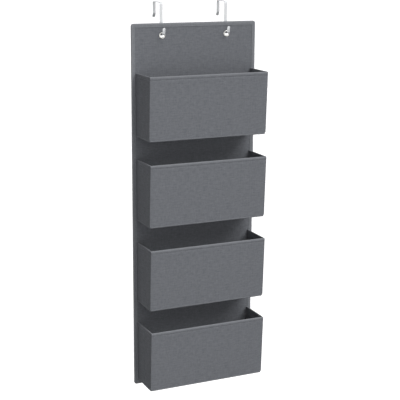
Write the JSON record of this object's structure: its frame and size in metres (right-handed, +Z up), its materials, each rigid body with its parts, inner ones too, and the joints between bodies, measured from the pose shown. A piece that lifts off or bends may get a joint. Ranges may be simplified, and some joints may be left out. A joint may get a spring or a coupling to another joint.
{
  "type": "hanging wall organizer",
  "caption": "Over-door hanging organizer: a tall fabric back panel on metal hooks carries open-topped folding baskets.",
  "frame": {"origin": "the front top edge of the door, half way between the hooks: the hooks' bridges rest on the door at z = 0 and their front legs lie on the door's face at y = 0", "axes": "+Z up, -Y to the front where the baskets stand out, +X to the right of someone who faces the front"},
  "size_m": [0.356, 0.1586, 1.038],
  "materials": {
    "fabric": "matt grey linen-look fabric",
    "edge_tape": "matt grey sewn edge tape",
    "board": "raw grey-brown chipboard",
    "hook_steel": "satin zinc-plated steel strip",
    "eyelet_metal": "bright nickel plating"
  },
  "bodies": {
    "door_hooks": {"door_hook_left": "hook_steel", "door_hook_right": "hook_steel"},
    "panel": {"panel_front_cover": "fabric", "panel_back_cover": "fabric", "panel_board": "board", "panel_edge_binding": "edge_tape", "eyelet_left": "eyelet_metal", "eyelet_right": "eyelet_metal", "basket_1_foot_cloth": "fabric", "basket_2_foot_cloth": "fabric", "basket_3_foot_cloth": "fabric", "basket_4_foot_cloth": "fabric"},
    "basket_1_floor": {"basket_1_floor_cover": "fabric", "basket_1_floor_board": "board"},
    "basket_1_front": {"basket_1_front_cover": "fabric", "basket_1_front_board": "board"},
    "basket_1_left_rear": {"basket_1_left_rear_cover": "fabric", "basket_1_left_rear_board": "board"},
    "basket_1_left_front": {"basket_1_left_front_cover": "fabric", "basket_1_left_front_board": "board"},
    "basket_1_right_rear": {"basket_1_right_rear_cover": "fabric", "basket_1_right_rear_board": "board"},
    "basket_1_right_front": {"basket_1_right_front_cover": "fabric", "basket_1_right_front_board": "board"},
    "basket_2_floor": {"basket_2_floor_cover": "fabric", "basket_2_floor_board": "board"},
    "basket_2_front": {"basket_2_front_cover": "fabric", "basket_2_front_board": "board"},
    "basket_2_left_rear": {"basket_2_left_rear_cover": "fabric", "basket_2_left_rear_board": "board"},
    "basket_2_left_front": {"basket_2_left_front_cover": "fabric", "basket_2_left_front_board": "board"},
    "basket_2_right_rear": {"basket_2_right_rear_cover": "fabric", "basket_2_right_rear_board": "board"},
    "basket_2_right_front": {"basket_2_right_front_cover": "fabric", "basket_2_right_front_board": "board"},
    "basket_3_floor": {"basket_3_floor_cover": "fabric", "basket_3_floor_board": "board"},
    "basket_3_front": {"basket_3_front_cover": "fabric", "basket_3_front_board": "board"},
    "basket_3_left_rear": {"basket_3_left_rear_cover": "fabric", "basket_3_left_rear_board": "board"},
    "basket_3_left_front": {"basket_3_left_front_cover": "fabric", "basket_3_left_front_board": "board"},
    "basket_3_right_rear": {"basket_3_right_rear_cover": "fabric", "basket_3_right_rear_board": "board"},
    "basket_3_right_front": {"basket_3_right_front_cover": "fabric", "basket_3_right_front_board": "board"},
    "basket_4_floor": {"basket_4_floor_cover": "fabric", "basket_4_floor_board": "board"},
    "basket_4_front": {"basket_4_front_cover": "fabric", "basket_4_front_board": "board"},
    "basket_4_left_rear": {"basket_4_left_rear_cover": "fabric", "basket_4_left_rear_board": "board"},
    "basket_4_left_front": {"basket_4_left_front_cover": "fabric", "basket_4_left_front_board": "board"},
    "basket_4_right_rear": {"basket_4_right_rear_cover": "fabric", "basket_4_right_rear_board": "board"},
    "basket_4_right_front": {"basket_4_right_front_cover": "fabric", "basket_4_right_front_board": "board"}
  },
  "joints": [
    {"name": "panel_swing", "type": "hinge", "parent": "door_hooks", "child": "panel", "pos_m": [0, -0.0026, -0.0512], "axis": [-1, 0, 0], "range_deg": [0, 12]},
    {"name": "basket_1_fold", "type": "hinge", "parent": "panel", "child": "basket_1_left_rear", "pos_m": [-0.1638, -0.0115, -0.3442], "axis": [0, 0, 1], "range_deg": [0, 90], "deforming": ["basket_1_foot_cloth"]},
    {"name": "basket_1_left_crease", "type": "hinge", "parent": "basket_1_left_rear", "child": "basket_1_left_front", "pos_m": [-0.1673, -0.05395, -0.3442], "axis": [0, -0.0224, 0.9997], "range_deg": [-180, 0]},
    {"name": "basket_1_front_hinge", "type": "hinge", "parent": "basket_1_left_front", "child": "basket_1_front", "pos_m": [-0.1638, -0.0964, -0.3442], "axis": [0, -0.0449, 0.999], "range_deg": [0, 90]},
    {"name": "basket_1_right_hinge", "type": "hinge", "parent": "panel", "child": "basket_1_right_rear", "pos_m": [0.1638, -0.0115, -0.3442], "axis": [0, 0, 1], "range_deg": [-90, 0]},
    {"name": "basket_1_right_crease", "type": "hinge", "parent": "basket_1_right_rear", "child": "basket_1_right_front", "pos_m": [0.1673, -0.05395, -0.3442], "axis": [0, -0.0224, 0.9997], "range_deg": [0, 180]},
    {"name": "basket_1_floor_flap", "type": "hinge", "parent": "panel", "child": "basket_1_floor", "pos_m": [0, -0.0078, -0.3399], "axis": [-1, 0, 0], "range_deg": [0, 90]},
    {"name": "basket_2_fold", "type": "hinge", "parent": "panel", "child": "basket_2_left_rear", "pos_m": [-0.1638, -0.0115, -0.5707], "axis": [0, 0, 1], "range_deg": [0, 90], "deforming": ["basket_2_foot_cloth"]},
    {"name": "basket_2_left_crease", "type": "hinge", "parent": "basket_2_left_rear", "child": "basket_2_left_front", "pos_m": [-0.1673, -0.05395, -0.5707], "axis": [0, -0.0224, 0.9997], "range_deg": [-180, 0]},
    {"name": "basket_2_front_hinge", "type": "hinge", "parent": "basket_2_left_front", "child": "basket_2_front", "pos_m": [-0.1638, -0.0964, -0.5707], "axis": [0, -0.0449, 0.999], "range_deg": [0, 90]},
    {"name": "basket_2_right_hinge", "type": "hinge", "parent": "panel", "child": "basket_2_right_rear", "pos_m": [0.1638, -0.0115, -0.5707], "axis": [0, 0, 1], "range_deg": [-90, 0]},
    {"name": "basket_2_right_crease", "type": "hinge", "parent": "basket_2_right_rear", "child": "basket_2_right_front", "pos_m": [0.1673, -0.05395, -0.5707], "axis": [0, -0.0224, 0.9997], "range_deg": [0, 180]},
    {"name": "basket_2_floor_flap", "type": "hinge", "parent": "panel", "child": "basket_2_floor", "pos_m": [0, -0.0078, -0.5664], "axis": [-1, 0, 0], "range_deg": [0, 90]},
    {"name": "basket_3_fold", "type": "hinge", "parent": "panel", "child": "basket_3_left_rear", "pos_m": [-0.1638, -0.0115, -0.7972], "axis": [0, 0, 1], "range_deg": [0, 90], "deforming": ["basket_3_foot_cloth"]},
    {"name": "basket_3_left_crease", "type": "hinge", "parent": "basket_3_left_rear", "child": "basket_3_left_front", "pos_m": [-0.1673, -0.05395, -0.7972], "axis": [0, -0.0224, 0.9997], "range_deg": [-180, 0]},
    {"name": "basket_3_front_hinge", "type": "hinge", "parent": "basket_3_left_front", "child": "basket_3_front", "pos_m": [-0.1638, -0.0964, -0.7972], "axis": [0, -0.0449, 0.999], "range_deg": [0, 90]},
    {"name": "basket_3_right_hinge", "type": "hinge", "parent": "panel", "child": "basket_3_right_rear", "pos_m": [0.1638, -0.0115, -0.7972], "axis": [0, 0, 1], "range_deg": [-90, 0]},
    {"name": "basket_3_right_crease", "type": "hinge", "parent": "basket_3_right_rear", "child": "basket_3_right_front", "pos_m": [0.1673, -0.05395, -0.7972], "axis": [0, -0.0224, 0.9997], "range_deg": [0, 180]},
    {"name": "basket_3_floor_flap", "type": "hinge", "parent": "panel", "child": "basket_3_floor", "pos_m": [0, -0.0078, -0.7929], "axis": [-1, 0, 0], "range_deg": [0, 90]},
    {"name": "basket_4_fold", "type": "hinge", "parent": "panel", "child": "basket_4_left_rear", "pos_m": [-0.1638, -0.0115, -1.0237], "axis": [0, 0, 1], "range_deg": [0, 90], "deforming": ["basket_4_foot_cloth"]},
    {"name": "basket_4_left_crease", "type": "hinge", "parent": "basket_4_left_rear", "child": "basket_4_left_front", "pos_m": [-0.1673, -0.05395, -1.0237], "axis": [0, -0.0224, 0.9997], "range_deg": [-180, 0]},
    {"name": "basket_4_front_hinge", "type": "hinge", "parent": "basket_4_left_front", "child": "basket_4_front", "pos_m": [-0.1638, -0.0964, -1.0237], "axis": [0, -0.0449, 0.999], "range_deg": [0, 90]},
    {"name": "basket_4_right_hinge", "type": "hinge", "parent": "panel", "child": "basket_4_right_rear", "pos_m": [0.1638, -0.0115, -1.0237], "axis": [0, 0, 1], "range_deg": [-90, 0]},
    {"name": "basket_4_right_crease", "type": "hinge", "parent": "basket_4_right_rear", "child": "basket_4_right_front", "pos_m": [0.1673, -0.05395, -1.0237], "axis": [0, -0.0224, 0.9997], "range_deg": [0, 180]},
    {"name": "basket_4_floor_flap", "type": "hinge", "parent": "panel", "child": "basket_4_floor", "pos_m": [0, -0.0078, -1.0194], "axis": [-1, 0, 0], "range_deg": [0, 90]}
  ],
  "couplings": [
    {"joint": "basket_1_left_crease", "follows": "basket_1_fold", "ratio": -2},
    {"joint": "basket_1_front_hinge", "follows": "basket_1_fold", "ratio": 1},
    {"joint": "basket_1_right_hinge", "follows": "basket_1_fold", "ratio": -1},
    {"joint": "basket_1_right_crease", "follows": "basket_1_fold", "ratio": 2},
    {"joint": "basket_2_left_crease", "follows": "basket_2_fold", "ratio": -2},
    {"joint": "basket_2_front_hinge", "follows": "basket_2_fold", "ratio": 1},
    {"joint": "basket_2_right_hinge", "follows": "basket_2_fold", "ratio": -1},
    {"joint": "basket_2_right_crease", "follows": "basket_2_fold", "ratio": 2},
    {"joint": "basket_3_left_crease", "follows": "basket_3_fold", "ratio": -2},
    {"joint": "basket_3_front_hinge", "follows": "basket_3_fold", "ratio": 1},
    {"joint": "basket_3_right_hinge", "follows": "basket_3_fold", "ratio": -1},
    {"joint": "basket_3_right_crease", "follows": "basket_3_fold", "ratio": 2},
    {"joint": "basket_4_left_crease", "follows": "basket_4_fold", "ratio": -2},
    {"joint": "basket_4_front_hinge", "follows": "basket_4_fold", "ratio": 1},
    {"joint": "basket_4_right_hinge", "follows": "basket_4_fold", "ratio": -1},
    {"joint": "basket_4_right_crease", "follows": "basket_4_fold", "ratio": 2}
  ]
}
